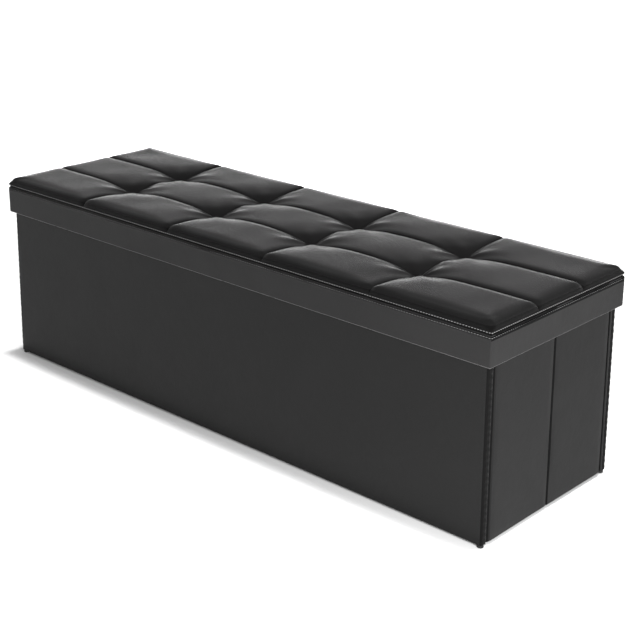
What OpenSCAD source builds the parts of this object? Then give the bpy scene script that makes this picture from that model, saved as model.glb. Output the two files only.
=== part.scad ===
// Folding storage ottoman bench: a box of upholstered boards with bi-fold ends and a drop-in floor,
// under a lift-off lid with a tufted seat and a skirt that reaches over the box.
// Millimetres. +X runs along the length, the front is at -Y, +Z is up.
// The origin is on the floor under the middle of the closed bench.

/* [Overall] */
// Length over the lid
seat_l = 1200; // [900:10:1300]
// Width over the lid
seat_w = 380; // [360:2:400]
// Height to the crown of the seat
seat_h = 380; // [378:1:392]

/* [Lid] */
// How far the lid stands out past the box on each side
lid_reveal = 8.5; // [7.5:0.5:12]
// Height of the skirt's lower edge
skirt_z = 307; // [280:1:325]
// Height of the seam between skirt and seat
seam_z = 360; // [358:1:362]
// Thickness of the lid's board
lid_board_t = 11; // [9:0.5:12]
// Thickness of the skirt's boards
skirt_board_t = 3; // [2.5:0.5:3.5]
// Thickness of the leatherette on the lid
lid_skin_t = 1; // [0.8:0.1:1.2]

/* [Tufting] */
// Number of tufts along the length
tuft_cols = 4; // [2:1:6]
// Number of tufts across the width
tuft_rows = 2; // [1:1:3]
// Depth of a tuft below the crown
tuft_depth = 18; // [12:0.5:18]
// Radius of the hollow round a tuft, at the crown
tuft_r = 26; // [20:1:34]
// Depth of the seams between the tufts
channel_depth = 5; // [3:0.5:6]

/* [Walls] */
// Thickness of a wall's board
wall_board_t = 9; // [8:0.5:9]
// Thickness of the padded leatherette on a wall
wall_skin_t = 1.5; // [1:0.5:1.5]
// Thickness of the lining on a wall
wall_lining_t = 1.5; // [1:0.5:1.5]
// Height of the walls' upper edge
wall_top = 340; // [336:1:340]
// Gap between the walls and the floor
wall_gap = 4.5; // [4.5:0.5:6]
// Width of the soft margin beside each corner, where the ends swing
fold_margin = 7; // [6.5:0.5:9]

/* [Bottom] */
// Thickness of the bottom board
bottom_board_t = 3.2; // [2.5:0.1:3.2]
// Thickness of its cloth cover
bottom_cloth_t = 0.4; // [0.3:0.1:0.4]
// Width of the bottom board with its cover, front to back
bottom_w = 333; // [300:1:334]

/* [Hidden] */
$fn = 32;
over = 1;             // how far a cutting tool runs past the face that it opens
wall_t = wall_board_t + wall_skin_t + wall_lining_t;
box_l = seat_l - 2 * lid_reveal;
box_w = seat_w - 2 * lid_reveal;
wall_h = wall_top - wall_gap;
crease_gap = 0.2;     // from the middle of an end to each half's edge
half_l = box_w / 2 - wall_t - fold_margin - crease_gap;
half_mid = crease_gap + half_l / 2;
strip_gap = 0.5;      // between a corner's strips and the end half beside them

glide_r = 5.5;
glide_bevel = 0.8;
glide_nail_r = 1;
glide_nail_l = 12;
glide_x = box_l / 2 - 6;
glide_y = box_w / 2 - 6;
nail_fit = 0.05;      // radial clearance round a nail or a tie

bottom_z = 0.2;
bottom_t = bottom_board_t + bottom_cloth_t;
bottom_l = box_l - 2 * wall_t - 4;
bottom_y = -box_w / 2 + wall_t + 1;   // its front edge, on the flap's hinge line
flap_t = 0.6;
flap_h = 26;
ribbon_w = 26;
ribbon_l = 80;
ribbon_t = 0.4;

lid_clear = 0.1;      // between the walls' upper edges and the lid's lining
lining_t = 1;
under_t = 1;          // room under the lid's board for washers and thread ends
lining_z = wall_top + lid_clear;
board_z = lining_z + lining_t + under_t;
board_top = board_z + lid_board_t;
board_l = seat_l - 2 * (lid_skin_t + skirt_board_t);
board_w = seat_w - 2 * (lid_skin_t + skirt_board_t);

nail_r = 0.9;
nail_l = 18;
nail_pitch = 110;
staple_w = 10;
staple_wire = 0.6;
staple_pitch = 60;
staple_z = skirt_z + 26;
tie_r = 0.8;
tuft_z = seat_h - tuft_depth;   // the outside of the seat at the bottom of a tuft
tuft_foot_r = 4;
tie_top = tuft_z - lid_skin_t;
washer_r = 10;

// The seat's crown as [height above the seam, inset from the lid's edge, corner radius]
CROWN = [[0, 0, 6], [9, 2, 10], [15.5, 9, 16], [seat_h - seam_z, 60, 40]];

// ---- Shared shapes ----

// A box between two corners
module block(low, high) {
    translate(low) cube(high - low);
}

// A thin slab with rounded corners, half sizes hx and hy, standing on height z
module slab(hx, hy, r, z) {
    translate([0, 0, z]) linear_extrude(0.1) offset(r) square([2 * (hx - r), 2 * (hy - r)], center = true);
}

// The domed form of the seat, taken in by a skin's thickness, with its foot dropped by drop
module crown(skin, drop) {
    hull() {
        slab(seat_l / 2 - skin, seat_w / 2 - skin, 5, seam_z - drop);
        for (c = CROWN) {
            top = c[0] > 0 ? skin + 0.1 : 0;
            slab(seat_l / 2 - c[1] - skin, seat_w / 2 - c[1] - skin, c[2], seam_z + c[0] - top);
        }
    }
}

// Puts a wall that is drawn with its outer face on y = 0 onto one side of the box
module on_front() { translate([0, -box_w / 2, 0]) children(); }
module on_back() { rotate([0, 0, 180]) on_front() children(); }

// side is -1 at the left end and 1 at the right end, row is -1 for the front half and 1 for the rear half
module on_end(side, row) {
    translate([side * box_l / 2, row * half_mid, 0]) rotate([0, 0, side * 90]) children();
}

// ---- Walls: board, leatherette and lining, for a wall of length l ----

module wall_core(l) {
    block([-l / 2 + wall_skin_t, wall_skin_t, wall_gap + wall_skin_t],
          [l / 2 - wall_skin_t, wall_skin_t + wall_board_t, wall_top - wall_skin_t]);
}

module wall_board(l) {
    color("burlywood") wall_core(l);
}

// A shallow tray that wraps the board's outer face and all four edges
module wall_cover(l) {
    color([0.1, 0.1, 0.1]) difference() {
        block([-l / 2, 0, wall_gap], [l / 2, wall_skin_t + wall_board_t, wall_top]);
        block([-l / 2 + wall_skin_t, wall_skin_t, wall_gap + wall_skin_t],
              [l / 2 - wall_skin_t, wall_t + over, wall_top - wall_skin_t]);
    }
}

module wall_lining(l) {
    color([0.16, 0.16, 0.17])
        block([-l / 2, wall_skin_t + wall_board_t, wall_gap], [l / 2, wall_t, wall_top]);
}

// Both nails of one long wall, grown by fit, in the wall's own place
module glide_nails(fit) {
    for (x = [-glide_x, glide_x])
        translate([x, 6, wall_gap - fit]) cylinder(r = glide_nail_r + fit, h = glide_nail_l + fit);
}

// A long wall's board and cover are drilled for the glides' nails
module long_board() {
    difference() {
        wall_board(box_l);
        glide_nails(nail_fit);
    }
}

module long_cover() {
    difference() {
        wall_cover(box_l);
        glide_nails(nail_fit);
    }
}

// Two plastic glides on nails, under the ends of a long wall
module glides() {
    color([0.2, 0.2, 0.2]) for (x = [-glide_x, glide_x]) translate([x, 6, 0]) {
        cylinder(r1 = glide_r - glide_bevel, r2 = glide_r, h = glide_bevel);
        translate([0, 0, glide_bevel]) cylinder(r = glide_r, h = wall_gap - glide_bevel);
        translate([0, 0, wall_gap]) cylinder(r = glide_nail_r, h = glide_nail_l);
    }
}

// The leatherette outside and the lining inside that bridge one corner's margin
module corner_hinge(side, row) {
    near = box_w / 2 - wall_t - fold_margin + strip_gap;
    far = box_w / 2 - wall_t;
    for (band = [[box_l / 2 - wall_skin_t, box_l / 2, 0.1],
                 [box_l / 2 - wall_t, box_l / 2 - wall_t + wall_lining_t, 0.16]])
        color([band[2], band[2], band[2]])
            translate([side * (band[0] + band[1]) / 2, row * (near + far) / 2, (wall_gap + wall_top) / 2])
                cube([band[1] - band[0], far - near, wall_h], center = true);
}

// ---- Bottom: one thin board in a cloth cover, hinged along the front wall ----

module bottom_outer() {
    block([-bottom_l / 2, bottom_y, bottom_z], [bottom_l / 2, bottom_y + bottom_w, bottom_z + bottom_t]);
}

// The board, or with drop the hollow that it leaves in its cover
module bottom_core(drop) {
    block([-bottom_l / 2 + bottom_cloth_t, bottom_y + bottom_cloth_t, bottom_z - drop],
          [bottom_l / 2 - bottom_cloth_t, bottom_y + bottom_w - bottom_cloth_t, bottom_z + bottom_board_t]);
}

module bottom_board() {
    color("peru") bottom_core(0);
}

module bottom_cover() {
    color([0.16, 0.16, 0.17]) difference() {
        bottom_outer();
        bottom_core(over);
    }
}

module bottom_hinge() {
    color([0.14, 0.14, 0.15])
        block([-bottom_l / 2, bottom_y - 1, wall_gap],
              [bottom_l / 2, bottom_y - 1 + flap_t, wall_gap + flap_h]);
}

module pull_ribbon() {
    rear = bottom_y + bottom_w - 2;
    top = bottom_z + bottom_t;
    color([0.05, 0.05, 0.05])
        block([-ribbon_w / 2, rear - ribbon_l, top], [ribbon_w / 2, rear, top + ribbon_t]);
}

// ---- Lid ----

// Calls its children at every tuft's place
module at_tufts() {
    for (i = [1 : tuft_cols], j = [1 : tuft_rows])
        translate([seat_l * (i / (tuft_cols + 1) - 0.5), seat_w * (j / (tuft_rows + 1) - 0.5), 0]) children();
}

// Calls its children along all four sides at a spacing near pitch, at depth in from the lid's side faces
module along_sides(pitch, in) {
    for (side = [[seat_l, seat_w, 0], [seat_w, seat_l, 90], [seat_l, seat_w, 180], [seat_w, seat_l, 270]]) {
        count = floor(side[0] / pitch);
        for (i = [1 : count])
            rotate([0, 0, side[2]])
                translate([side[0] * (i / (count + 1) - 0.5), -side[1] / 2 + in, 0]) children();
    }
}

module nails(fit) {
    along_sides(nail_pitch, lid_skin_t) translate([0, 0, board_z + lid_board_t / 2])
        rotate([-90, 0, 0]) cylinder(r = nail_r + fit, h = nail_l + fit);
}

module lid_board() {
    color("burlywood") difference() {
        block([-board_l / 2, -board_w / 2, board_z], [board_l / 2, board_w / 2, board_top]);
        nails(nail_fit);
        at_tufts() translate([0, 0, board_z - over]) cylinder(r = 2, h = lid_board_t + 2 * over);
    }
}

module lid_lining() {
    hx = board_l / 2 - lid_skin_t - 1;
    hy = board_w / 2 - lid_skin_t - 1;
    color([0.16, 0.16, 0.17]) block([-hx, -hy, lining_z], [hx, hy, lining_z + lining_t]);
}

// The crown with its tufts and the seams that join them, taken in by skin
module seat(skin, drop) {
    rise = tuft_depth + over;
    foot = tuft_foot_r + skin;
    bar = channel_depth * sqrt(2) + 2 * skin;
    difference() {
        crown(skin, drop);
        at_tufts() translate([0, 0, tuft_z - skin])
            cylinder(r1 = foot, r2 = foot + (tuft_r - tuft_foot_r) * rise / tuft_depth, h = rise);
        for (i = [1 : tuft_cols])
            translate([seat_l * (i / (tuft_cols + 1) - 0.5), 0, seat_h])
                rotate([0, 45, 0]) cube([bar, seat_w + 2, bar], center = true);
        for (j = [1 : tuft_rows])
            translate([0, seat_w * (j / (tuft_rows + 1) - 0.5), seat_h])
                rotate([45, 0, 0]) cube([seat_l + 2, bar, bar], center = true);
    }
}

module seat_foam() {
    color("khaki") difference() {
        seat(lid_skin_t + 0.1, seam_z - board_top);
        at_tufts() translate([0, 0, board_top - over])
            cylinder(r = tie_r + nail_fit, h = tuft_depth + 2 * over);
    }
}

module seat_cover() {
    color([0.1, 0.1, 0.1]) difference() {
        seat(0, 0);
        seat(lid_skin_t, seam_z - board_top);
    }
}

// One side of the skirt's frame: half length along the side, and the turn that puts it there
module skirt_board(half, across, turn) {
    face = -across / 2 + lid_skin_t;
    color("peru") rotate([0, 0, turn]) difference() {
        block([-half, face, skirt_z + lid_skin_t], [half, face + skirt_board_t, board_top]);
        rotate([0, 0, -turn]) nails(nail_fit);
    }
}

// Leatherette down the outside, round the lower edge and up the inside of one side of the skirt
module skirt_cover(half_out, half_fold, half_in, across, turn) {
    face = -across / 2;
    in = face + lid_skin_t + skirt_board_t;
    color([0.1, 0.1, 0.1]) rotate([0, 0, turn]) {
        block([-half_out, face, skirt_z + lid_skin_t], [half_out, face + lid_skin_t, seam_z]);
        block([-half_fold, face, skirt_z], [half_fold, in + lid_skin_t, skirt_z + lid_skin_t]);
        block([-half_in, in, skirt_z + lid_skin_t], [half_in, in + lid_skin_t, lining_z - 0.5]);
    }
}

module skirt_cover_long(turn) {
    skirt_cover(seat_l / 2, seat_l / 2, board_l / 2, seat_w, turn);
}

module skirt_cover_short(turn) {
    half_in = board_w / 2 - lid_skin_t;
    skirt_cover(seat_w / 2 - lid_skin_t, half_in, half_in, seat_l, turn);
}

module skirt_nails() {
    color("silver") nails(0);
}

// Crowns of the staples that hold the skirt's leatherette to the inside of its boards
module skirt_staples() {
    depth = 2 * lid_skin_t + skirt_board_t;
    color("silver") along_sides(staple_pitch, depth)
        block([-staple_w / 2, 0, staple_z], [staple_w / 2, staple_wire, staple_z + 1.2]);
}

module tuft_ties() {
    foot = lining_z + lining_t;
    color([0.3, 0.3, 0.3]) at_tufts() translate([0, 0, foot]) cylinder(r = tie_r, h = tie_top - foot);
}

module tuft_washers() {
    color([0.7, 0.7, 0.7]) at_tufts() translate([0, 0, lining_z + lining_t]) difference() {
        cylinder(r = washer_r, h = under_t);
        translate([0, 0, -over]) cylinder(r = tie_r + nail_fit, h = under_t + 2 * over);
    }
}

// ---- Nodes ----

on_front() long_board();  // front_board
on_front() long_cover();  // front_cover
on_front() wall_lining(box_l);  // front_lining
on_back() long_board();  // back_board
on_back() long_cover();  // back_cover
on_back() wall_lining(box_l);  // back_lining
on_end(-1, -1) wall_board(half_l);  // left_front_board
on_end(-1, -1) wall_cover(half_l);  // left_front_cover
on_end(-1, -1) wall_lining(half_l);  // left_front_lining
on_end(-1, 1) wall_board(half_l);  // left_rear_board
on_end(-1, 1) wall_cover(half_l);  // left_rear_cover
on_end(-1, 1) wall_lining(half_l);  // left_rear_lining
on_end(1, -1) wall_board(half_l);  // right_front_board
on_end(1, -1) wall_cover(half_l);  // right_front_cover
on_end(1, -1) wall_lining(half_l);  // right_front_lining
on_end(1, 1) wall_board(half_l);  // right_rear_board
on_end(1, 1) wall_cover(half_l);  // right_rear_cover
on_end(1, 1) wall_lining(half_l);  // right_rear_lining
corner_hinge(-1, -1);  // corner_hinge_front_left
corner_hinge(1, -1);  // corner_hinge_front_right
corner_hinge(-1, 1);  // corner_hinge_back_left
corner_hinge(1, 1);  // corner_hinge_back_right
on_front() glides();  // front_glides
on_back() glides();  // back_glides
bottom_board();
bottom_cover();
bottom_hinge();
pull_ribbon();
lid_board();
lid_lining();
seat_foam();
seat_cover();
skirt_board(seat_l / 2 - lid_skin_t, seat_w, 0);  // skirt_board_front
skirt_board(seat_l / 2 - lid_skin_t, seat_w, 180);  // skirt_board_back
skirt_board(board_w / 2, seat_l, -90);  // skirt_board_left
skirt_board(board_w / 2, seat_l, 90);  // skirt_board_right
skirt_cover_long(0);  // skirt_cover_front
skirt_cover_long(180);  // skirt_cover_back
skirt_cover_short(-90);  // skirt_cover_left
skirt_cover_short(90);  // skirt_cover_right
skirt_nails();
skirt_staples();
tuft_ties();
tuft_washers();
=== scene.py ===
import math

import bpy
import numpy as np
from mathutils import Matrix, Vector


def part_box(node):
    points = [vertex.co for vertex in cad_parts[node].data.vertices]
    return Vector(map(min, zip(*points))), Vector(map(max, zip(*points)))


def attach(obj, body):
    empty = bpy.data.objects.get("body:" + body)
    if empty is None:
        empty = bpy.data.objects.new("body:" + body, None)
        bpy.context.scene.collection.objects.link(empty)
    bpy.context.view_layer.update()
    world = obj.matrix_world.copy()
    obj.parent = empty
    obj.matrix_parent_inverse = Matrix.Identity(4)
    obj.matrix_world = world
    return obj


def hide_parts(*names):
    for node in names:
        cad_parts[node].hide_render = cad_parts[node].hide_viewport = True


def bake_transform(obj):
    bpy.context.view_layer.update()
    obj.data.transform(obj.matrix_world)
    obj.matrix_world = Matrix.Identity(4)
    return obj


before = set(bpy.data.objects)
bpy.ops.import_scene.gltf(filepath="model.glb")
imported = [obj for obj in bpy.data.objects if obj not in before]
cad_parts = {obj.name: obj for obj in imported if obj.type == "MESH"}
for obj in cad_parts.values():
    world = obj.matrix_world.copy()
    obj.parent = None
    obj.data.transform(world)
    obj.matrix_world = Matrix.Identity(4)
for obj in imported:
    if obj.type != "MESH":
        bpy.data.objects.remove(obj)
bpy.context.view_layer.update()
MM = 0.001


# ---------------------------------------------------------------- camera, floor and lights

HORIZON_LEVEL, CEILING_LEVEL = 3.0, 0.08
SKY_LEVELS = ((0.07, 2.4), (0.125, 0.52), (0.25, 0.37), (0.45, 0.27))
SOFT_LEVEL = 0.5
FLOOR_SIZE, FLOOR_SEEN, FLOOR_REFLECTED = 60, 0.85, 0.4


def make_camera(place, azimuth, pitch, roll, lens, shift):
    """Angles in degrees. Azimuth is round from the front towards the right, pitch is downwards."""
    data = bpy.data.cameras.new("camera")
    data.lens = lens
    data.sensor_width = 36
    data.shift_y = shift
    cam = bpy.data.objects.new("camera", data)
    bpy.context.scene.collection.objects.link(cam)
    a, p, r = (math.radians(d) for d in (azimuth, pitch, roll))
    back = Vector((math.sin(a) * math.cos(p), -math.cos(a) * math.cos(p), math.sin(p)))
    right = Vector((0, 0, 1)).cross(back).normalized()
    up = back.cross(right)
    turn = Matrix((right, up, back)).transposed() @ Matrix.Rotation(r, 3, "Z")
    cam.matrix_world = Matrix.Translation(place) @ turn.to_4x4()
    bpy.context.scene.camera = cam


def area_light(name, place, aim, size, power):
    data = bpy.data.lights.new(name, "AREA")
    data.shape = "RECTANGLE"
    data.size, data.size_y = size
    data.energy = power
    lamp = bpy.data.objects.new(name, data)
    bpy.context.scene.collection.objects.link(lamp)
    lamp.visible_glossy = lamp.visible_camera = False
    lamp.location = place
    lamp.rotation_mode = "QUATERNION"
    lamp.rotation_quaternion = (Vector(aim) - Vector(place)).to_track_quat("-Z", "Y")
    return lamp


def sun_light(name, energy, angle, turn):
    """A far round softbox. turn is degrees about x and y from straight down."""
    sun = bpy.data.lights.new(name, "SUN")
    sun.energy = energy
    sun.angle = math.radians(angle)
    lamp = bpy.data.objects.new(name, sun)
    bpy.context.scene.collection.objects.link(lamp)
    lamp.rotation_euler = (math.radians(turn[0]), math.radians(turn[1]), 0)
    lamp.visible_glossy = False


def make_world():
    """Soft even light on the object, and in its reflections a bright horizon under a dim ceiling."""
    world = bpy.data.worlds.new("studio")
    world.use_nodes = True
    tree = world.node_tree
    coords = tree.nodes.new("ShaderNodeTexCoord")
    split = tree.nodes.new("ShaderNodeSeparateXYZ")
    ramp = tree.nodes.new("ShaderNodeValToRGB")
    tree.links.new(coords.outputs["Generated"], split.inputs[0])
    tree.links.new(split.outputs["Z"], ramp.inputs["Fac"])
    stops = ramp.color_ramp.elements
    stops[0].position, stops[0].color = 0.0, (HORIZON_LEVEL,) * 3 + (1,)
    stops[1].position, stops[1].color = 0.72, (CEILING_LEVEL,) * 3 + (1,)
    for height, level in SKY_LEVELS:
        stops.new(height).color = (level, level, level, 1)
    ray = tree.nodes.new("ShaderNodeLightPath")
    mix = tree.nodes.new("ShaderNodeMix")
    mix.data_type = "RGBA"
    tree.links.new(ray.outputs["Is Glossy Ray"], mix.inputs["Factor"])
    tree.links.new(ramp.outputs["Color"], mix.inputs["B"])
    mix.inputs["A"].default_value = (SOFT_LEVEL,) * 3 + (1,)
    seen = tree.nodes.new("ShaderNodeMix")
    seen.data_type = "RGBA"
    seen.inputs["B"].default_value = (1, 1, 1, 1)
    tree.links.new(ray.outputs["Is Camera Ray"], seen.inputs["Factor"])
    tree.links.new(mix.outputs["Result"], seen.inputs["A"])
    tree.links.new(seen.outputs["Result"], tree.nodes["Background"].inputs["Color"])
    bpy.context.scene.world = world
    bpy.context.scene.view_settings.view_transform = "Standard"


def make_floor():
    """A plain floor: paper white to the camera, a mid grey to the object's reflections."""
    bpy.ops.mesh.primitive_plane_add(size=FLOOR_SIZE, location=(0, 0, 0))
    floor = bpy.context.active_object
    floor.name = "studio_floor"
    mat = bpy.data.materials.new("floor_white")
    mat.use_nodes = True
    tree = mat.node_tree
    shader = tree.nodes["Principled BSDF"]
    shader.inputs["Base Color"].default_value = (FLOOR_REFLECTED,) * 3 + (1,)
    shader.inputs["Roughness"].default_value = 0.9
    shader.inputs["Specular IOR Level"].default_value = 0.0
    paper = tree.nodes.new("ShaderNodeBsdfPrincipled")
    paper.inputs["Base Color"].default_value = (FLOOR_SEEN,) * 3 + (1,)
    paper.inputs["Specular IOR Level"].default_value = 0.0
    ray = tree.nodes.new("ShaderNodeLightPath")
    mix = tree.nodes.new("ShaderNodeMixShader")
    tree.links.new(ray.outputs["Is Camera Ray"], mix.inputs["Fac"])
    tree.links.new(shader.outputs[0], mix.inputs[1])
    tree.links.new(paper.outputs[0], mix.inputs[2])
    tree.links.new(mix.outputs[0], tree.nodes["Material Output"].inputs["Surface"])
    floor.data.materials.append(mat)


def make_lights():
    area_light("near_corner", (1.25, -0.75, 0.6), (0.6, -0.19, 0.25), (0.4, 0.4), 17)
    back = area_light("back_floor", (-2.1, 2.5, 1.8), (-2.1, 2.5, 0), (3.4, 2.8), 260)
    back.data.spread = math.radians(60)
    sun_light("overhead_back", 1.95, 3.6, (-3.8, 2.5))
    sun_light("overhead", 0.65, 3, (-1.3, 1.5))


make_camera((1.725, -1.813, 1.127), azimuth=42.45, pitch=15.47, roll=0.43, lens=81.09, shift=-0.2)
make_world()
make_floor()
make_lights()


# ---------------------------------------------------------------- materials

def link(tree, a, b):
    tree.links.new(a, b)


def new_material(name):
    mat = bpy.data.materials.new(name)
    mat.use_nodes = True
    tree = mat.node_tree
    return mat, tree, tree.nodes["Principled BSDF"]


def texture(tree, kind, where, scale, **settings):
    node = tree.nodes.new("ShaderNodeTex" + kind)
    node.inputs["Scale"].default_value = scale
    for key, value in settings.items():
        if key in node.inputs:
            node.inputs[key].default_value = value
        else:
            setattr(node, key, value)
    link(tree, where, node.inputs["Vector"])
    return node


def spread(tree, value, low, high):
    """Maps 0..1 onto low..high."""
    node = tree.nodes.new("ShaderNodeMapRange")
    node.inputs["To Min"].default_value = low
    node.inputs["To Max"].default_value = high
    link(tree, value, node.inputs["Value"])
    return node.outputs["Result"]


def blend_colour(tree, factor, a, b):
    node = tree.nodes.new("ShaderNodeMix")
    node.data_type = "RGBA"
    node.inputs["A"].default_value = (*a, 1)
    node.inputs["B"].default_value = (*b, 1)
    link(tree, factor, node.inputs["Factor"])
    return node.outputs["Result"]


def bump(tree, height, distance, strength, before=None):
    node = tree.nodes.new("ShaderNodeBump")
    node.inputs["Distance"].default_value = distance
    node.inputs["Strength"].default_value = strength
    link(tree, height, node.inputs["Height"])
    if before is not None:
        link(tree, before.outputs["Normal"], node.inputs["Normal"])
    return node


def object_place(tree, stretch=(1, 1, 1)):
    coords = tree.nodes.new("ShaderNodeTexCoord")
    mapping = tree.nodes.new("ShaderNodeMapping")
    mapping.inputs["Scale"].default_value = stretch
    link(tree, coords.outputs["Object"], mapping.inputs["Vector"])
    return mapping.outputs["Vector"]


def leatherette(name, tone, rough, specular, crumple, coat):
    """Black coated cloth: a fine pebbled grain over soft wrinkles, with uneven gloss."""
    mat, tree, shader = new_material(name)
    at = object_place(tree)
    cloud = texture(tree, "Noise", at, 7.0, Detail=3.0)
    dark, light = (tone * 0.8,) * 3, (tone * 1.35, tone * 1.3, tone * 1.32)
    link(tree, blend_colour(tree, cloud.outputs["Fac"], dark, light), shader.inputs["Base Color"])
    smear = texture(tree, "Noise", at, 38.0, Detail=4.0, Roughness=0.6)
    gloss = spread(tree, smear.outputs["Fac"], rough - 0.04, rough + 0.05)
    link(tree, gloss, shader.inputs["Roughness"])
    shader.inputs["Specular IOR Level"].default_value = specular
    shader.inputs["Coat Weight"].default_value = coat
    shader.inputs["Coat Roughness"].default_value = 0.25
    wrinkle = texture(tree, "Noise", at, 55.0, Detail=2.0, Distortion=0.8)
    grain = texture(tree, "Voronoi", at, 720.0, feature="SMOOTH_F1", Smoothness=0.6)
    fine = texture(tree, "Noise", at, 1900.0, Detail=1.0)
    soft = bump(tree, wrinkle.outputs["Fac"], 0.0009, crumple)
    pebble = bump(tree, grain.outputs["Distance"], 0.00022, 0.35, soft)
    pores = bump(tree, fine.outputs["Fac"], 0.00006, 0.4, pebble)
    link(tree, pores.outputs["Normal"], shader.inputs["Normal"])
    return mat


def nonwoven(name, tone=0.02):
    """Black bonded lining cloth: matt fibres pressed with a grid of small points."""
    mat, tree, shader = new_material(name)
    at = object_place(tree)
    fibre = texture(tree, "Noise", at, 900.0, Detail=3.0, Roughness=0.75)
    cloud = texture(tree, "Noise", at, 14.0, Detail=3.0)
    points = texture(tree, "Voronoi", at, 480.0, distance="CHEBYCHEV", Randomness=0.12)
    pair = tree.nodes.new("ShaderNodeMath")
    pair.operation = "MULTIPLY"
    link(tree, fibre.outputs["Fac"], pair.inputs[0])
    link(tree, cloud.outputs["Fac"], pair.inputs[1])
    colour = blend_colour(tree, pair.outputs[0], (tone * 0.7,) * 3, (tone * 3.2,) * 3)
    link(tree, colour, shader.inputs["Base Color"])
    link(tree, spread(tree, fibre.outputs["Fac"], 0.8, 0.98), shader.inputs["Roughness"])
    shader.inputs["Sheen Weight"].default_value = 0.25
    shader.inputs["Sheen Roughness"].default_value = 0.5
    shader.inputs["Specular IOR Level"].default_value = 0.25
    pressed = bump(tree, points.outputs["Distance"], 0.0003, 0.5)
    hairy = bump(tree, fibre.outputs["Fac"], 0.00015, 0.5, pressed)
    link(tree, hairy.outputs["Normal"], shader.inputs["Normal"])
    return mat


def thread(name, tone, rough=0.38):
    """Twisted sewing thread."""
    mat, tree, shader = new_material(name)
    at = object_place(tree)
    twist = texture(tree, "Noise", at, 2600.0, Detail=1.0)
    colour = blend_colour(tree, twist.outputs["Fac"], (tone * 0.6,) * 3, (tone * 1.5,) * 3)
    link(tree, colour, shader.inputs["Base Color"])
    shader.inputs["Roughness"].default_value = rough
    shader.inputs["Specular IOR Level"].default_value = 0.6
    link(tree, bump(tree, twist.outputs["Fac"], 0.0001, 0.6).outputs["Normal"], shader.inputs["Normal"])
    return mat


def webbing(name, tone):
    """Ribbed ribbon."""
    mat, tree, shader = new_material(name)
    at = object_place(tree)
    ribs = texture(tree, "Wave", at, 260.0, bands_direction="Y", Distortion=0.6)
    colour = blend_colour(tree, ribs.outputs["Fac"], (tone * 0.5,) * 3, (tone * 1.8,) * 3)
    link(tree, colour, shader.inputs["Base Color"])
    shader.inputs["Roughness"].default_value = 0.62
    link(tree, bump(tree, ribs.outputs["Fac"], 0.0002, 0.6).outputs["Normal"], shader.inputs["Normal"])
    return mat


def board(name, dark, light):
    """Pressed wood fibre: flecks and a faint long grain."""
    mat, tree, shader = new_material(name)
    at = object_place(tree, (1, 6, 6))
    long = texture(tree, "Noise", at, 16.0, Detail=6.0, Roughness=0.65)
    fleck = texture(tree, "Noise", object_place(tree), 420.0, Detail=3.0)
    pair = tree.nodes.new("ShaderNodeMath")
    pair.operation = "MULTIPLY"
    link(tree, long.outputs["Fac"], pair.inputs[0])
    link(tree, fleck.outputs["Fac"], pair.inputs[1])
    colour = blend_colour(tree, spread(tree, pair.outputs[0], 0, 2.4), dark, light)
    link(tree, colour, shader.inputs["Base Color"])
    link(tree, spread(tree, fleck.outputs["Fac"], 0.6, 0.85), shader.inputs["Roughness"])
    link(tree, bump(tree, fleck.outputs["Fac"], 0.0002, 0.4).outputs["Normal"], shader.inputs["Normal"])
    return mat


def moulded(name, tone):
    """Moulded plastic with a fine spark texture."""
    mat, tree, shader = new_material(name)
    at = object_place(tree)
    spark = texture(tree, "Noise", at, 1500.0, Detail=2.0)
    cloud = texture(tree, "Noise", at, 60.0, Detail=2.0)
    colour = blend_colour(tree, cloud.outputs["Fac"], (tone * 0.8,) * 3, (tone * 1.3,) * 3)
    link(tree, colour, shader.inputs["Base Color"])
    link(tree, spread(tree, spark.outputs["Fac"], 0.4, 0.6), shader.inputs["Roughness"])
    link(tree, bump(tree, spark.outputs["Fac"], 0.0001, 0.4).outputs["Normal"], shader.inputs["Normal"])
    return mat


def steel(name):
    """Drawn wire, lightly scratched."""
    mat, tree, shader = new_material(name)
    at = object_place(tree, (1, 1, 8))
    scratch = texture(tree, "Noise", at, 700.0, Detail=2.0)
    colour = blend_colour(tree, scratch.outputs["Fac"], (0.45, 0.45, 0.46), (0.7, 0.7, 0.72))
    link(tree, colour, shader.inputs["Base Color"])
    shader.inputs["Metallic"].default_value = 1.0
    link(tree, spread(tree, scratch.outputs["Fac"], 0.25, 0.45), shader.inputs["Roughness"])
    return mat


SEAT = leatherette("leatherette_seat", 0.007, 0.24, 0.4, 0.03, 0.05)
SKIRT = leatherette("leatherette_skirt", 0.015, 0.36, 0.42, 0.25, 0.0)
# painted highlight: a much lighter leatherette laid on thin bands to stand in for the bright sheen lines on
# the skirt's hem fold and on an end half's roll
PAINTED_HIGHLIGHT = leatherette("leatherette_painted_highlight", 0.22, 0.28, 1.0, 0.1, 0.3)
# painted shade: a near-black, low-gloss leatherette laid on bands where shade falls: the seat's side, the
# skirt's top at the ends, the walls' corner edges, the end crease and the corner strips
PAINTED_SHADE = leatherette("leatherette_painted_shade", 0.004, 0.5, 0.14, 0.3, 0.0)
WALL = leatherette("leatherette_wall", 0.005, 0.42, 0.43, 0.25, 0.0)
LINING = nonwoven("lining_cloth")
THREAD = thread("black_thread", 0.05)
DARK_THREAD = thread("black_thread_dull", 0.008, 0.6)
# painted glint: the edge topstitch thread is much lighter than black, standing in for the glints off shiny
# thread
PAINTED_GLINT_THREAD = thread("black_thread_painted_glint", 0.2, 0.25)
RIBBON = webbing("ribbon_black", 0.02)
BOARD = board("fibreboard", (0.32, 0.2, 0.1), (0.62, 0.45, 0.27))
HARDBOARD = board("hardboard", (0.12, 0.065, 0.03), (0.3, 0.18, 0.09))
PLASTIC = moulded("black_plastic", 0.02)
STEEL = steel("steel_wire")
CARD = board("pressed_card", (0.25, 0.18, 0.1), (0.5, 0.38, 0.24))

# ---------------------------------------------------------------- mesh tools

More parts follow.
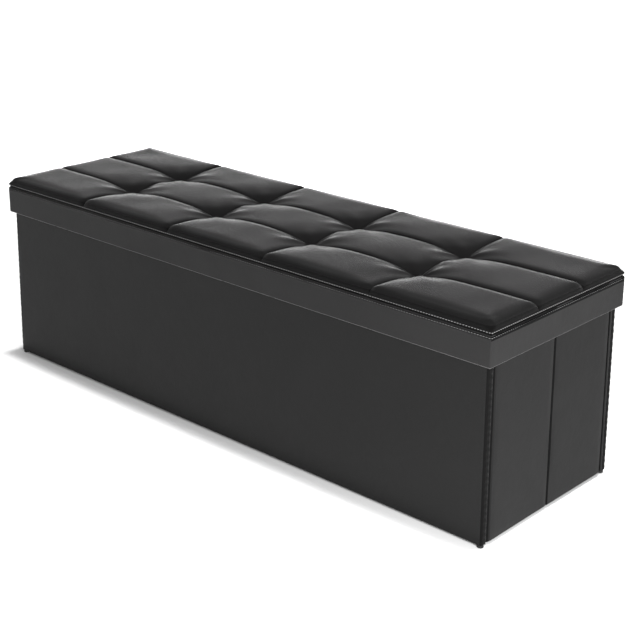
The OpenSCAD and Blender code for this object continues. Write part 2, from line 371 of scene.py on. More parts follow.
def mesh_piece(name, points, faces, material, body=None, slot=None, smooth=True):
    mesh = bpy.data.meshes.new(name)
    mesh.from_pydata([tuple(p) for p in points], [], faces)
    mesh.validate()
    mesh.polygons.foreach_set("use_smooth", [smooth] * len(mesh.polygons))
    mesh.materials.append(material)
    piece = bpy.data.objects.new(name, mesh)
    bpy.context.scene.collection.objects.link(piece)
    if body:
        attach(piece, body)
    return piece


def paint_faces(piece, material, wanted):
    """Gives the faces whose centre is wanted another material."""
    piece.data.materials.append(material)
    index = len(piece.data.materials) - 1
    for face in piece.data.polygons:
        if wanted(face.center):
            face.material_index = index


def apply_modifiers(piece):
    graph = bpy.context.evaluated_depsgraph_get()
    mesh = bpy.data.meshes.new_from_object(piece.evaluated_get(graph))
    piece.modifiers.clear()
    piece.data = mesh
    return piece


def thicken(piece, thickness, offset=-1):
    solid = piece.modifiers.new("thickness", "SOLIDIFY")
    solid.thickness = thickness
    solid.offset = offset
    return apply_modifiers(piece)


def ripple(u, v, size, seed, count=8):
    """A smooth random field of about unit height whose waves are about size long."""
    rng = np.random.default_rng(seed)
    total = np.zeros(np.broadcast(u, v).shape)
    for _ in range(count):
        turn, phase = rng.uniform(0, 2 * math.pi, 2)
        k = 2 * math.pi / size * rng.uniform(0.7, 1.5)
        total += np.cos(k * (u * math.cos(turn) + v * math.sin(turn)) + phase)
    return total / math.sqrt(count / 2)


def grid_lines(half, step, seams=(), near=()):
    """Lines from -half to half at about step, with closer ones beside each seam."""
    lines = list(np.linspace(-half, half, max(2, int(round(2 * half / step)) + 1)))
    for s in seams:
        lines = [x for x in lines if abs(x - s) > near[-1] + step * 0.4]
        lines += [s] + [s + d for d in near] + [s - d for d in near]
    return np.array(sorted(lines))


def rim_grid(half_u, half_v, rim, corner, lines_u, lines_v):
    """A grid over a rectangle that goes on down its rim.
    rim is rows of (inset, drop) outwards from the flat part's edge. corner is one radius or one for each row.
    Returns points (rows, columns, 3) in u, v, w, and the rim row of each, which is 0 on the flat part."""
    rim = np.array(rim, float)
    rows = len(rim) - 1
    start = rim[0, 0]

    def spread_out(lines):
        ring = np.concatenate([np.arange(rows, 0, -1), np.zeros(len(lines), int), np.arange(1, rows + 1)])
        at = np.concatenate([np.full(rows, lines[0]), lines, np.full(rows, lines[-1])])
        sign = np.concatenate([-np.ones(rows), np.zeros(len(lines)), np.ones(rows)])
        return ring, at, sign

    ring_u, at_u, sign_u = spread_out(lines_u)
    ring_v, at_v, sign_v = spread_out(lines_v)
    ku, kv = np.meshgrid(ring_u, ring_v)
    u, v = np.meshgrid(at_u, at_v)
    su, sv = np.meshgrid(sign_u, sign_v)
    k = np.maximum(ku, kv)
    gap = start - rim[k, 0]
    side_u = (ku > 0) & (kv == 0)
    side_v = (kv > 0) & (ku == 0)
    u = np.where(side_u, su * (half_u - rim[k, 0]), u)
    v = np.where(side_v, sv * (half_v - rim[k, 0]), v)
    both = (ku > 0) & (kv > 0)
    radius = np.minimum(np.broadcast_to(corner, rows + 1)[k], gap)
    straight = gap - radius
    part = np.minimum(ku, kv) / np.maximum(k, 1) * (straight + radius * math.pi / 4)
    angle = np.clip((part - straight) / np.maximum(radius, 1e-9), 0, None)
    ahead = np.where(part < straight, gap, gap - radius + radius * np.cos(angle))
    aside = np.where(part < straight, part, gap - radius + radius * np.sin(angle))
    along_u = np.where(ku >= kv, ahead, aside)
    along_v = np.where(ku >= kv, aside, ahead)
    u = np.where(both, su * (half_u - start + along_u), u)
    v = np.where(both, sv * (half_v - start + along_v), v)
    return np.stack([u, v, -rim[k, 1]], -1), k


def grid_faces(rows, cols, offset=0):
    i = np.arange(rows - 1)[:, None] * cols + np.arange(cols - 1)[None, :] + offset
    return np.stack([i, i + 1, i + cols + 1, i + cols], -1).reshape(-1, 4).tolist()


def grid_normals(p):
    du = np.gradient(p, axis=1)
    dv = np.gradient(p, axis=0)
    n = np.cross(du, dv)
    return n / np.maximum(np.linalg.norm(n, axis=-1, keepdims=True), 1e-12)


def place(points, origin, along_u, along_v, outward):
    """Local u, v, w to the row frame."""
    axes = np.array([along_u, along_v, outward], float)
    return np.asarray(points).reshape(-1, 3) @ axes + np.array(origin)


def quarter(radius, rows, depth):
    """A rim that rolls over by radius and then runs straight to depth."""
    turn = np.linspace(0, math.pi / 2, rows)
    roll = [(radius * (1 - math.sin(t)), radius * (1 - math.cos(t))) for t in turn]
    return roll + [(0, radius + (depth - radius) * f) for f in (0.35, 0.7, 1.0)]


# ---------------------------------------------------------------- stitches

def sample_path(path, normals, pitch):
    path, normals = np.asarray(path, float), np.asarray(normals, float)
    step = np.linalg.norm(np.diff(path, axis=0), axis=1)
    s = np.concatenate([[0], np.cumsum(step)])
    count = max(1, int(s[-1] // pitch))
    at = (np.arange(count) + 0.5) * s[-1] / count

    def read(values, where):
        return np.stack([np.interp(where, s, values[:, i]) for i in range(3)], -1)

    middle = read(path, at)
    tangent = read(path, np.minimum(at + pitch * 0.3, s[-1])) - read(path, np.maximum(at - pitch * 0.3, 0))
    tangent /= np.linalg.norm(tangent, axis=1, keepdims=True)
    normal = read(normals, at)
    normal -= (normal * tangent).sum(1, keepdims=True) * tangent
    normal /= np.linalg.norm(normal, axis=1, keepdims=True)
    return middle, tangent, normal


def stitches(paths, pitch=4.2 * MM, length=3.2 * MM, radius=0.42 * MM, sink=0.1, seed=3):
    """Points and faces of a bowed thread at every pitch along each path. A path is (points, normals)."""
    rng = np.random.default_rng(seed)
    sides = 6
    ring = np.linspace(0, 2 * math.pi, sides, endpoint=False)
    profile = [(-0.5, 0.35, -0.9), (-0.36, 0.9, -0.1), (0, 1, 0.25), (0.36, 0.9, -0.1), (0.5, 0.35, -0.9)]
    along = np.repeat([p[0] * length for p in profile], sides)
    width = np.concatenate([radius * p[1] * np.cos(ring) for p in profile])
    height = np.concatenate([radius * (p[1] * np.sin(ring) + p[2] - sink) for p in profile])
    quads = []
    for i in range(len(profile) - 1):
        for j in range(sides):
            a, b = i * sides + j, i * sides + (j + 1) % sides
            quads.append((a, b, b + sides, a + sides))
    quads += [tuple(range(sides))[::-1], tuple(range(sides * 4, sides * 5))]
    points, faces = [], []
    for path, normals in paths:
        middle, tangent, normal = sample_path(path, normals, pitch)
        lean = rng.normal(0, 0.05, len(middle))[:, None]
        side = np.cross(normal, tangent)
        tangent = tangent + lean * side
        side = np.cross(normal, tangent)
        p = (middle[:, None] + along[None, :, None] * tangent[:, None]
             + width[None, :, None] * side[:, None] + height[None, :, None] * normal[:, None])
        for one in p:
            base = len(points)
            points.extend(one)
            faces.extend([tuple(base + i for i in f) for f in quads])
    return points, faces


def stitch_piece(name, paths, body, material=None, **how):
    points, faces = stitches(paths, **how)
    return mesh_piece(name, points, faces, material or THREAD, body, "thread")


# ---------------------------------------------------------------- the lid's measures, from the frame

seat_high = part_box("seat_cover")[1]
skirt_low, skirt_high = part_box("skirt_cover_front")
lid_board_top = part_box("lid_board")[1].z
SEAM_Z = skirt_high.z
SKIRT_Z = skirt_low.z
CROWN_Z = seat_high.z
HALF_L, HALF_W = seat_high.x, seat_high.y
tie_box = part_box("tuft_ties")
TUFT_X = [tie_box[1].x * f for f in (-1, -1 / 3, 1 / 3, 1)]
TUFT_X = [round(x / MM / 10) * 10 * MM for x in TUFT_X]
TUFT_Y = [s * HALF_W / 3 for s in (-1, 1)]
TUFT_DEPTH = 18.3 * MM
LID_CORNER = 2 * MM


# ---------------------------------------------------------------- tufted seat

ROLL_START, ROLL_DROP, ROLL_ROWS = 15 * MM, 14 * MM, 12
SWELL = 0.9 * MM
seat_rim = [(ROLL_START * (1 - math.sin(t)), ROLL_DROP * (1 - math.cos(t)))
            for t in np.linspace(0, math.pi / 2, ROLL_ROWS)]
seat_rim += [(0.3 * MM, 15.2 * MM), (1.1 * MM, 16.2 * MM), (2.0 * MM, 16.8 * MM)]
ROLL_CORNER = 20 * MM                 # how much rounder the seat's corners are above than at the seam
TUFT_REACH, TUFT_TIP = 25 * MM, 2.2 * MM
CREASE_DEPTH, CREASE_WIDTH = 2.4 * MM, 1.9 * MM
SHOULDER_DEPTH, SHOULDER_WIDTH = 1.3 * MM, 7 * MM
PUCKER_DEPTH = 0.4 * MM
RIM_STEP = 4 * MM
SEAT_FLOOR = lid_board_top + 0.1 * MM
SHADE_DROP = 7 * MM                    # the seat's side carries painted shade from here down


def seam_distances(u, v):
    """Distance to the nearest seam across u and across v."""
    pairs = ((u, TUFT_X), (v, TUFT_Y))
    return [np.min([np.abs(across - s) for s in seams], axis=0) for across, seams in pairs]


def tuft_pull(u, v):
    """How strongly the tufts hold the cover down, 0 to 1. They pull furthest along the seams."""
    pull = np.zeros(np.shape(u))
    for x in TUFT_X:
        for y in TUFT_Y:
            r = np.hypot(u - x, v - y)
            turn = np.arctan2(v - y, u - x)
            soft = np.sqrt(r ** 2 + TUFT_TIP ** 2) - TUFT_TIP
            reach = TUFT_REACH * (1 + 0.3 * np.cos(4 * turn))
            pull = np.maximum(pull, np.exp(-(soft / reach) ** 1.15))
    return pull


def puckers(u, v):
    """Small radial gathers round each tuft."""
    depth = np.zeros(np.shape(u))
    for i, x in enumerate(TUFT_X):
        for j, y in enumerate(TUFT_Y):
            rng = np.random.default_rng(40 + 2 * i + j)
            r, turn = np.hypot(u - x, v - y), np.arctan2(v - y, u - x)
            window = np.exp(-((r - 14 * MM) / (10 * MM)) ** 2)
            for n in (6, 9, 13):
                depth += (PUCKER_DEPTH * window * rng.uniform(0.6, 1.2)
                          * np.cos(n * turn + rng.uniform(0, 6.3)))
    return depth


def seam_creases(u, v):
    """The sewn creases: a sharp fold with a short soft shoulder."""
    depth = np.zeros(np.shape(u))
    for d in seam_distances(u, v):
        depth += CREASE_DEPTH * np.exp(-d / CREASE_WIDTH)
        depth += SHOULDER_DEPTH * np.exp(-(d / SHOULDER_WIDTH) ** 2)
    return depth


def cubic(x, xp, fp):
    """Smooth curves through fp, whose last axis lies at xp, read at x."""
    slope = np.gradient(fp, xp, axis=-1)
    i = np.clip(np.searchsorted(xp, x) - 1, 0, len(xp) - 2)
    h = xp[i + 1] - xp[i]
    t = (x - xp[i]) / h
    return ((2 * t ** 3 - 3 * t ** 2 + 1) * fp[..., i] + (t ** 3 - 2 * t ** 2 + t) * h * slope[..., i]
            + (3 * t ** 2 - 2 * t ** 3) * fp[..., i + 1] + (t ** 3 - t ** 2) * h * slope[..., i + 1])


def ring_lines(lines, rows):
    """Carries grid lines on past their ends by one even step for each row of the rim."""
    ahead = np.arange(1, rows + 1) * RIM_STEP
    return np.concatenate([lines[0] - ahead[::-1], lines, lines[-1] + ahead])


def slack_seat(step, near):
    """The cover before it is stuffed: points, rim row of each, its grid lines, and a fade down its rim."""
    lines_u = grid_lines(HALF_L - ROLL_START, step, TUFT_X, near)
    lines_v = grid_lines(HALF_W - ROLL_START, step, TUFT_Y, near)
    corner = [LID_CORNER + ROLL_CORNER * max(0, 1 - (drop / ROLL_DROP) ** 1.5) for _, drop in seat_rim]
    p, k = rim_grid(HALF_L, HALF_W, seat_rim, corner, lines_u, lines_v)
    u, v = p[..., 0], p[..., 1]
    fade = np.clip(1 - (k - 8) / 6, 0, 1)
    p = p.copy()
    p[..., 2] += CROWN_Z - SWELL * np.clip(1 - k / 10, 0, 1)
    p[..., 2] -= (TUFT_DEPTH - SWELL) * tuft_pull(u, v) * (k == 0)
    rows = len(seat_rim) - 1
    return p, k, ring_lines(lines_u, rows), ring_lines(lines_v, rows), fade


def closed_pad(p, floor_z):
    """Points and faces of a grid surface closed by a flat copy of itself below."""
    rows, cols = p.shape[:2]
    low = p.copy()
    low[..., 2] = floor_z
    base = rows * cols
    loop = ([i for i in range(cols)] + [i * cols + cols - 1 for i in range(1, rows)]
            + [(rows - 1) * cols + i for i in range(cols - 2, -1, -1)]
            + [i * cols for i in range(rows - 2, 0, -1)])
    faces = grid_faces(rows, cols) + [f[::-1] for f in grid_faces(rows, cols, base)]
    faces += [(b, a, a + base, b + base) for a, b in zip(loop, loop[1:] + loop[:1])]
    return np.concatenate([p.reshape(-1, 3), low.reshape(-1, 3)]), faces


def stuff(p, k, frames=20):
    """Inflates the slack cover by cloth simulation, held at its rim, its seams and its tufts.
    Returns the moves."""
    points, faces = closed_pad(p, SEAT_FLOOR)
    pad = mesh_piece("stuffing", points, faces, SEAT)
    u, v = p[..., 0].ravel(), p[..., 1].ravel()
    seam = np.minimum(*seam_distances(u, v))
    held = (k.ravel() >= 5) | (seam < 2 * MM)
    for x in TUFT_X:
        for y in TUFT_Y:
            held |= np.hypot(u - x, v - y) < 13 * MM
    pins = pad.vertex_groups.new(name="pins")
    top = len(u)
    pins.add([int(i) for i in np.flatnonzero(held)] + list(range(top, len(points))), 1.0, "REPLACE")
    cloth = pad.modifiers.new("cloth", "CLOTH")
    how = cloth.settings
    how.quality = 5
    how.mass = 0.25
    how.tension_stiffness = how.compression_stiffness = 12
    how.shear_stiffness = 6
    how.bending_stiffness = 0.8
    how.use_pressure = True
    how.uniform_pressure_force = 4
    how.vertex_group_mass = "pins"
    how.effector_weights.gravity = 0
    cloth.collision_settings.use_collision = False
    scene = bpy.context.scene
    scene.frame_start, scene.frame_end = 1, frames
    cloth.point_cache.frame_start, cloth.point_cache.frame_end = 1, frames
    for n in range(1, frames + 1):
        scene.frame_set(n)
    graph = bpy.context.evaluated_depsgraph_get()
    done = pad.evaluated_get(graph).data
    after = np.empty(len(points) * 3)
    done.vertices.foreach_get("co", after)
    moved = after.reshape(-1, 3)[:top].reshape(p.shape) - p
    mesh = pad.data
    bpy.data.objects.remove(pad)
    bpy.data.meshes.remove(mesh)
    scene.frame_set(1)
    return moved


def stuffed_moves(lines_u, lines_v):
    """How the stuffing lifts each point of the fine cover."""
    q, ring, coarse_u, coarse_v, _ = slack_seat(8 * MM, (8 * MM,))
    moved = stuff(q, ring)
    size = np.linalg.norm(moved, axis=-1, keepdims=True)
    cap = SWELL * 1.5
    moved = moved * np.minimum(1, cap * np.tanh(size / cap) / np.maximum(size, 1e-9))
    across = cubic(lines_u, coarse_u, moved.transpose(2, 0, 1))
    return cubic(lines_v, coarse_v, across.transpose(0, 2, 1)).transpose(2, 1, 0)


NEAR_SEAMS = [d * MM for d in (0.7, 1.6, 2.8, 4.5, 7.0)]
seat_points, seat_ring, lines_u, lines_v, fade = slack_seat(4 * MM, NEAR_SEAMS)
seat_points = seat_points + stuffed_moves(lines_u, lines_v)
u, v = seat_points[..., 0], seat_points[..., 1]
free = 1 - tuft_pull(u, v)
folds = seam_creases(u, v) * free + puckers(u, v) + 0.2 * MM * ripple(u, v, 0.13, 5)
seat_points = seat_points - grid_normals(seat_points) * (folds * fade)[..., None]
rows, cols = seat_points.shape[:2]
seat = mesh_piece("seat_cushion", *closed_pad(seat_points, SEAT_FLOOR), SEAT, "lid", "leatherette")


def in_seat_shade_band(centre):
    near_edge = abs(centre.x) > HALF_L - 6 * MM or abs(centre.y) > HALF_W - 6 * MM
    return near_edge and centre.z < CROWN_Z - SHADE_DROP


# painted shade: the seat's side below its rolled edge gets the near-black leatherette for the shade band
# there
paint_faces(seat, PAINTED_SHADE, in_seat_shade_band)
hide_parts("seat_cover", "seat_foam")
seat_normal = grid_normals(seat_points)
assert seat_points[(seat_ring == 0)][:, 2].min() > tie_box[1].z

# topstitching beside the seams between the tufts
SEAM_STITCH_OFF = 2.8 * MM
RIM_ROWS = 13
row_paths = []
for x in TUFT_X:
    col = int(np.argmin(np.abs(seat_points[rows // 2, :, 0] - (x + SEAM_STITCH_OFF))))
    keep = slice(RIM_ROWS, rows - RIM_ROWS)
    row_paths.append((seat_points[keep, col], seat_normal[keep, col]))
for y in TUFT_Y:
    row = int(np.argmin(np.abs(seat_points[:, cols // 2, 1] - (y - SEAM_STITCH_OFF))))
    keep = slice(RIM_ROWS, cols - RIM_ROWS)
    row_paths.append((seat_points[row, keep], seat_normal[row, keep]))
stitch_piece("seat_seam_stitches", row_paths, "lid",
             pitch=3.6 * MM, length=2.7 * MM, radius=0.3 * MM)


# ---------------------------------------------------------------- skirt

def rounded_plan(half_l, half_w, corner, step, corner_rows=7):
    """Points and outward normals round a rectangle with rounded corners."""
    points, normals = [], []
    for n in range(4):
        a0 = n * math.pi / 2
        cx = (half_l - corner) * (1 if n in (0, 3) else -1)
        cy = (half_w - corner) * (1 if n in (0, 1) else -1)
        for t in np.linspace(0, math.pi / 2, corner_rows):
            d = (math.cos(a0 + t), math.sin(a0 + t))
            points.append((cx + corner * d[0], cy + corner * d[1]))
            normals.append(d)
        run = 2 * ((half_l if n in (0, 2) else half_w) - corner)
        go = (-math.sin(a0 + math.pi / 2), math.cos(a0 + math.pi / 2))
        steps = int(run // step)
        last = points[-1]
        for i in range(1, steps):
            points.append((last[0] + go[0] * run * i / steps, last[1] + go[1] * run * i / steps))
            normals.append(normals[-1])
    return np.array(points), np.array(normals)


def swept(name, profile, plan, material, body, slot, wave=0.0, seed=1):
    """Sweeps a closed profile of (inset, z) round a plan."""
    points, normals = plan
    profile = np.array(profile)
    n, m = len(points), len(profile)
    run = np.concatenate([[0], np.cumsum(np.linalg.norm(np.diff(points, axis=0), axis=1))])
    along, height = run[:, None], profile[None, :, 1]
    push = wave * ripple(along, height, 0.11, seed) + 0.6 * wave * ripple(along, 3 * height, 0.3, seed + 1)
    out = profile[None, :, 0] - push
    limit = np.abs(points).max(0)
    p = np.empty((n, m, 3))
    for axis in (0, 1):
        edge = limit[axis] - out
        p[..., axis] = np.clip(points[:, None, axis] - normals[:, None, axis] * out, -edge, edge)
    p[..., 2] = profile[None, :, 1]
    faces = []
    for i in range(n):
        for j in range(m):
            a, b = i * m + j, i * m + (j + 1) % m
            c, d = ((i + 1) % n) * m + (j + 1) % m, ((i + 1) % n) * m + j
            faces.append((a, b, c, d))
    return mesh_piece(name, p.reshape(-1, 3), faces, material, body, slot)


plan = rounded_plan(HALF_L, HALF_W, LID_CORNER, 9 * MM)
SHOULDER = ((2.0, 0.1), (0.9, 0.7), (0.3, 2.2), (0.05, 5.5))              # inset, drop below the seam
FACE = [(0.0, h) for h in (51, 44, 39, 34, 29, 24, 19, 14, 10, 6)]        # inset, height over the hem
HEM = [(0.04, 2.4), (0.25, 1.1), (0.8, 0.3), (1.6, 0.03), (2.5, 0),
       (3.4, 0.03), (4.2, 0.3), (4.75, 1.1), (4.96, 2.4)]
TURN_IN = [(5.0, h) for h in (8, 16, 24, 32.6)]
BACK = [(4.1, 32.6), (4.1, 16), (4.1, 2), (4.05, 0.8), (0.95, 0.8), (0.95, 20), (0.95, 40), (0.95, 51)]
profile = [(inset * MM, SEAM_Z - drop * MM) for inset, drop in SHOULDER]
profile += [(inset * MM, SKIRT_Z + h * MM) for inset, h in FACE + HEM + TURN_IN + BACK]
skirt = swept("skirt_leatherette", profile, plan, SKIRT, "lid", "leatherette", 0.16 * MM, 11)
# painted highlight: a light band along the skirt's hem fold, standing in for its sheen
paint_faces(skirt, PAINTED_HIGHLIGHT, lambda c: c.z < SKIRT_Z + 0.75 * MM)
# painted shade: the top of the skirt at the ends gets the near-black leatherette, for the shade under the
# seat's roll
paint_faces(skirt, PAINTED_SHADE, lambda c: c.z > SEAM_Z - 9 * MM and abs(c.x) > HALF_L - 0.6 * MM)
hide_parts("skirt_cover_front", "skirt_cover_back", "skirt_cover_left", "skirt_cover_right")


def round_path(inset, z):
    """A closed path round the lid at a height, and its outward normals."""
    points, normals = plan
    p = np.column_stack([points - normals * inset, np.full(len(points), z)])
    n = np.column_stack([normals, np.zeros(len(points))])
    return np.vstack([p, p[:1]]), np.vstack([n, n[:1]])


# painted glint: the upper and lower edge topstitches use the lighter thread
for name, dz, thick in (("upper", 4.0 * MM, 0.62 * MM), ("lower", -4.4 * MM, 0.5 * MM)):
    stitch_piece(f"edge_stitches_{name}", [round_path(0.0, SEAM_Z + dz)], "lid", PAINTED_GLINT_THREAD,
                 pitch=5.4 * MM, length=3.6 * MM, radius=thick)


# ---------------------------------------------------------------- box

WALL_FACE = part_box("front_cover")
BOX_L = WALL_FACE[1].x
BOX_W = -WALL_FACE[0].y
WALL_LOW, WALL_TOP = WALL_FACE[0].z, WALL_FACE[1].z
COVER_DEPTH = WALL_FACE[1].y - WALL_FACE[0].y
WALL_T = COVER_DEPTH + (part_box("front_lining")[1].y - WALL_FACE[1].y)


EDGE_ROLL = 3.2 * MM
COVER_THICK = 0.9 * MM


def padded_cover(name, node, body, side, half_u, centre_u, seed, tilt=0.0, gather=0.0):
    """Leatherette over one board: a padded face, rolled edges, and a lip that wraps the board's edges.
    side is the outward direction (x, y); u runs to its right, seen from outside."""
    half_v = (WALL_TOP - WALL_LOW) / 2
    rim = quarter(EDGE_ROLL, 7, COVER_DEPTH)
    start = rim[0][0]
    lines_u = grid_lines(half_u - start, 11 * MM)
    lines_v = grid_lines(half_v - start, 11 * MM if gather == 0 else 3 * MM)
    p, k = rim_grid(half_u, half_v, rim, EDGE_ROLL, lines_u, lines_v)
    at_side = (k >= 3) & (half_u - np.abs(p[..., 0]) < 0.7 * EDGE_ROLL)
    p[..., 0] += np.sign(p[..., 0]) * gather * np.abs(np.sin(math.pi * p[..., 1] / (12 * MM))) * at_side
    inward = np.minimum(half_u - np.abs(p[..., 0]), half_v - np.abs(p[..., 1]))
    swell = 0.55 * MM * (1 - np.exp(-np.clip(inward, 0, None) / (14 * MM)))
    swell += 0.1 * MM * ripple(p[..., 0], p[..., 1], 0.16, seed) * (k == 0)
    swell += tilt * p[..., 0] / half_u * (k < 4)
    p[..., 2] += swell
    out = np.array([side[0], side[1], 0.0])
    right = np.array([-side[1], side[0], 0.0])
    face = BOX_W if side[0] == 0 else BOX_L
    origin = out * face + right * centre_u + np.array([0, 0, (WALL_TOP + WALL_LOW) / 2])
    points = place(p, origin, right, (0, 0, 1), out)
    piece = mesh_piece(name, points, grid_faces(*p.shape[:2]), WALL)
    thicken(piece, COVER_THICK)
    if side[0] == 0:
        # painted shade on the rounded corner edges of the front and back covers
        paint_faces(piece, PAINTED_SHADE, lambda c: abs(c.x) > BOX_L - 3 * MM)
    else:
        # painted shade along the end halves' edges at the crease
        paint_faces(piece, PAINTED_SHADE, lambda c: abs(c.y) < 3.1 * MM)
        # painted highlight: a thin light band on the front half's roll beside the crease
        if centre_u * side[0] < 0:
            paint_faces(piece, PAINTED_HIGHLIGHT, lambda c: 3.1 * MM < abs(c.y) < 4.7 * MM and abs(c.x) > BOX_L - 1 * MM)
    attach(piece, body)
    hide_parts(node)
    return piece


def lining_sheet(name, node, body, seed):
    """Lining cloth on one board's inner face, drawn a little uneven by its glue."""
    low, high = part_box(node)
    size = high - low
    flat_axis = 0 if size.x < size.y else 1
    u_axis = 1 - flat_axis
    centre = (low + high) / 2
    inward = -1 if centre[flat_axis] > 0 else 1
    half_u, half_v, thick = size[u_axis] / 2, size.z / 2, size[flat_axis]
    rim = quarter(0.7 * MM, 4, thick - 0.1 * MM)
    start = rim[0][0]
    lines = [grid_lines(half - start, 10 * MM) for half in (half_u, half_v)]
    p, k = rim_grid(half_u, half_v, rim, 0.7 * MM, *lines)
    inset = np.minimum(half_u - np.abs(p[..., 0]), half_v - np.abs(p[..., 1]))
    drawn = np.clip(1 + ripple(p[..., 0], p[..., 1], 0.09, seed), 0, 3)
    p[..., 2] -= 0.18 * MM * drawn * np.clip(inset / (12 * MM), 0, 1)
    out = np.zeros(3)
    out[flat_axis] = inward
    right = np.cross((0, 0, 1), out)
    origin = np.array(centre) + out * thick / 2
    piece = mesh_piece(name, place(p, origin, right, (0, 0, 1), out), grid_faces(*p.shape[:2]), LINING)
    thicken(piece, 0.5 * MM)
    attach(piece, body)
    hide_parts(node)
    return piece


GATHER = 0.7 * MM
padded_cover("front_leatherette", "front_cover", "front_wall", (0, -1), BOX_L, 0, 21, gather=GATHER)
padded_cover("back_leatherette", "back_cover", "back_wall", (0, 1), BOX_L, 0, 22, gather=GATHER)
lining_sheet("front_lining_cloth", "front_lining", "front_wall", 31)
lining_sheet("back_lining_cloth", "back_lining", "back_wall", 32)
for side, sx in (("left", -1), ("right", 1)):
    for row, sy in (("front", -1), ("rear", 1)):
        low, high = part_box(f"{side}_{row}_cover")
        half_u = (high.y - low.y) / 2
        centre_u = (high.y + low.y) / 2 * sx
        tilt = 0.5 * MM * (1 if centre_u > 0 else -1)
        seed = 50 + 3 * sx + sy
        half = f"{side}_{row}_half"
        padded_cover(f"{side}_{row}_leatherette", f"{side}_{row}_cover", half, (sx, 0), half_u, centre_u,
                     seed, tilt)
        lining_sheet(f"{side}_{row}_lining_cloth", f"{side}_{row}_lining", half, seed + 7)


def strip(name, y0, y1, x_edge, sx, valley, thickness, material):
    """A vertical strip of soft skin on an end face from y0 to y1, sunk in its middle by valley."""
    t = np.linspace(0, 1, 14)
    z = np.linspace(WALL_LOW + 0.8 * MM, WALL_TOP - 0.8 * MM, 40)
    tt, zz = np.meshgrid(t, z)
    sag = valley * np.sin(math.pi * tt) ** 0.8
    sag += 0.12 * MM * ripple(zz, tt * 0.02, 0.05, 9) * np.sin(math.pi * tt)
    p = np.stack([sx * (x_edge - sag), y0 + (y1 - y0) * tt, zz], -1)
    faces = grid_faces(*p.shape[:2])
    if sx * (y1 - y0) < 0:
        faces = [f[::-1] for f in faces]
    piece = mesh_piece(name, p.reshape(-1, 3), faces, material)
    return thicken(piece, thickness)


SKIN_THICK, CLOTH_THICK = 0.7 * MM, 0.5 * MM
margin_start, margin_end = BOX_W - WALL_T, -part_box("right_front_cover")[0].y
inner_x = BOX_L - WALL_T
for side, sx in (("left", -1), ("right", 1)):
    for row, sy in (("front", -1), ("back", 1)):
        wall = "front_wall" if row == "front" else "back_wall"
        half = f"{side}_front_half" if row == "front" else f"{side}_rear_half"
        node = f"corner_hinge_{row}_{side}"
        # painted shade: the corner skins in the groove between wall and end half get the near-black
        # leatherette
        outside = strip(f"corner_skin_{row}_{side}",
                        sy * (margin_start + 2.6 * MM), sy * (margin_end - 1.6 * MM),
                        BOX_L - 1.4 * MM, sx, 1.6 * MM, SKIN_THICK, PAINTED_SHADE)
        inside = strip(f"corner_lining_{row}_{side}",
                       sy * (margin_start + 0.2 * MM), sy * (margin_end - 0.3 * MM),
                       inner_x + 1.0 * MM, sx, -0.4 * MM, CLOTH_THICK, LINING)
        for piece, slot in ((outside, "leatherette"), (inside, "lining")):
            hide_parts(node)
            if f"{side}_{row}" == "right_back":
                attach(piece, wall)
            else:
                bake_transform(piece)
    # painted shade: the crease skin gets the near-black leatherette
    outside = strip(f"crease_skin_{side}", -4 * MM, 4 * MM, BOX_L - 2.4 * MM, sx, 0.8 * MM, SKIN_THICK, PAINTED_SHADE)
    inside = strip(f"crease_lining_{side}", -3 * MM, 3 * MM, inner_x + 0.6 * MM, sx, -0.3 * MM,
                   CLOTH_THICK, LINING)
    for piece, slot in ((outside, "leatherette"), (inside, "lining")):
        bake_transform(piece)


def upright(x, y, normal):
    """A stitch path up a wall's edge."""
    z = np.linspace(WALL_LOW + 6 * MM, WALL_TOP - 4 * MM, 30)
    p = np.column_stack([np.full(30, x), np.full(30, y), z])
    return p, np.tile(np.array(normal, float), (30, 1))


for row, sy in (("front", -1), ("back", 1)):
    paths = []
    for sx in (-1, 1):
        paths.append(upright(sx * (BOX_L - 5.5 * MM), sy * (BOX_W + 0.15 * MM), (0, sy, 0)))
        paths.append(upright(sx * (BOX_L + 0.05 * MM), sy * (BOX_W - 7 * MM), (sx, 0, 0)))
    stitch_piece(f"corner_stitches_{row}", paths, f"{row}_wall", DARK_THREAD,
                 pitch=5 * MM, length=3.4 * MM, radius=0.35 * MM)


# ---------------------------------------------------------------- bottom panel

low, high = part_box("bottom_cover")
half_u, half_v = (high.x - low.x) / 2, (high.y - low.y) / 2
rim = quarter(0.8 * MM, 4, high.z - low.z)
lines = [grid_lines(half - rim[0][0], 11 * MM) for half in (half_u, half_v)]
p, k = rim_grid(half_u, half_v, rim, 1.5 * MM, *lines)
p[..., 2] -= 0.06 * MM * (1 + ripple(p[..., 0], p[..., 1], 0.12, 71)) * (k == 0)
points = place(p, (0, (low.y + high.y) / 2, high.z), (1, 0, 0), (0, 1, 0), (0, 0, 1))
cloth = thicken(mesh_piece("bottom_cloth", points, grid_faces(*p.shape[:2]), LINING), 0.35 * MM)
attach(cloth, "bottom")
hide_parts("bottom_cover")

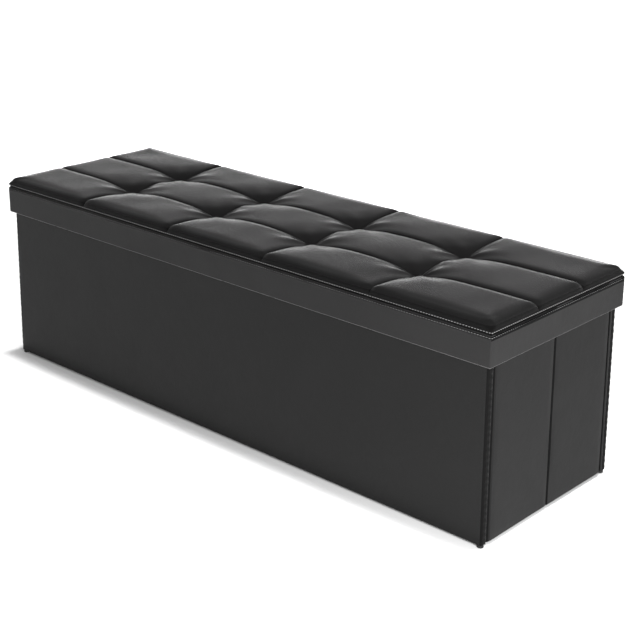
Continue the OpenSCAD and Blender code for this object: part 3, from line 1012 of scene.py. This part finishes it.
hinge_low, hinge_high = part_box("bottom_hinge")
y_wall, z_panel = hinge_low.y + 0.05 * MM, high.z + 0.03 * MM
line = [(y_wall, hinge_high.z - i * 2.6 * MM) for i in range(9)]
bend = ((0.05, 1.6), (0.35, 0.5), (1.0, 0))
line += [(y_wall + across * MM, z_panel + up * MM) for across, up in bend]
line += [(y_wall + i * 3 * MM, z_panel) for i in range(1, 9)]
xs = np.linspace(low.x + 3 * MM, high.x - 3 * MM, 110)
xx, ii = np.meshgrid(xs, np.arange(len(line)))
line = np.array(line)
p = np.stack([xx, line[ii, 0], line[ii, 1]], -1)
flap = mesh_piece("bottom_hinge_cloth", p.reshape(-1, 3), grid_faces(*p.shape[:2]), LINING)
flap = thicken(flap, 0.3 * MM, 1)
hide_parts("bottom_hinge")
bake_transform(flap)

low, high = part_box("pull_ribbon")
ys = np.linspace(low.y, high.y, 40)
xs = np.linspace(low.x, high.x, 12)
xx, yy = np.meshgrid(xs, ys)
lift = 0.1 * MM * np.abs(np.sin((yy - low.y) * 60))
p = np.stack([xx, yy, low.z + 0.32 * MM - lift * 0.5], -1)
ribbon = mesh_piece("pull_ribbon_web", p.reshape(-1, 3), grid_faces(*p.shape[:2]), RIBBON)
ribbon = thicken(ribbon, 0.28 * MM)
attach(ribbon, "bottom")
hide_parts("pull_ribbon")


# ---------------------------------------------------------------- underside of the lid

low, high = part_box("lid_lining")
half_u, half_v = high.x, high.y
rim = quarter(0.5 * MM, 4, 0.95 * MM)
lines = [grid_lines(half - rim[0][0], 12 * MM) for half in (half_u, half_v)]
p, k = rim_grid(half_u, half_v, rim, 1.5 * MM, *lines)
inset = np.minimum(half_u - np.abs(p[..., 0]), half_v - np.abs(p[..., 1]))
drawn = np.clip(1 + ripple(p[..., 0], p[..., 1], 0.1, 81), 0, 3)
p[..., 2] -= 0.15 * MM * drawn * np.clip(inset / (14 * MM), 0, 1)
points = place(p, (0, 0, low.z), (1, 0, 0), (0, -1, 0), (0, 0, -1))
cloth = thicken(mesh_piece("lid_lining_cloth", points, grid_faces(*p.shape[:2]), LINING), 0.4 * MM)
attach(cloth, "lid")
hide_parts("lid_lining")


# ---------------------------------------------------------------- the CAD nodes that stay

KEPT = {
    "skirt_nails": STEEL, "skirt_staples": STEEL, "tuft_ties": THREAD, "tuft_washers": CARD,
    "front_glides": PLASTIC, "back_glides": PLASTIC, "bottom_board": HARDBOARD,
}
for name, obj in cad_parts.items():
    if obj.hide_render:
        continue
    material = KEPT.get(name, BOARD)
    obj.data.materials.clear()
    obj.data.materials.append(material)
